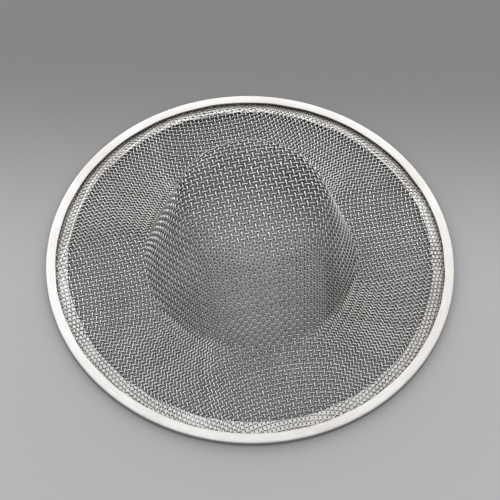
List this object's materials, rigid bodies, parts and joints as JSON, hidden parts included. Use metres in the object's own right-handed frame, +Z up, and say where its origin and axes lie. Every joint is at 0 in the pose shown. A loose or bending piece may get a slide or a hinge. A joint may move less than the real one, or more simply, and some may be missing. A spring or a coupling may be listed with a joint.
{
  "type": "sink strainer",
  "caption": "Round sink strainer of woven stainless wire cloth pressed into a flat-topped dome and gripped at its edge by a folded sheet-steel rim, shown dome up.",
  "frame": {"origin": "centre of the rim's underside, on the surface that the strainer lies on with its dome up", "axes": "+Z up through the middle of the dome, +Y away from the viewer of the picture, +X to the right"},
  "size_m": [0.072, 0.072, 0.0226],
  "materials": {
    "rim_steel": "rolled sheet, satin",
    "wire_steel": "drawn wire, bright"
  },
  "bodies": {
    "root": {"rim_ring": "rim_steel", "left_brim_warp_wires": "wire_steel", "left_wall_warp_wires": "wire_steel", "crown_warp_wires": "wire_steel", "right_wall_warp_wires": "wire_steel", "right_brim_warp_wires": "wire_steel", "front_brim_weft_wires": "wire_steel", "front_wall_weft_wires": "wire_steel", "crown_weft_wires": "wire_steel", "back_wall_weft_wires": "wire_steel", "back_brim_weft_wires": "wire_steel"}
  },
  "joints": []
}
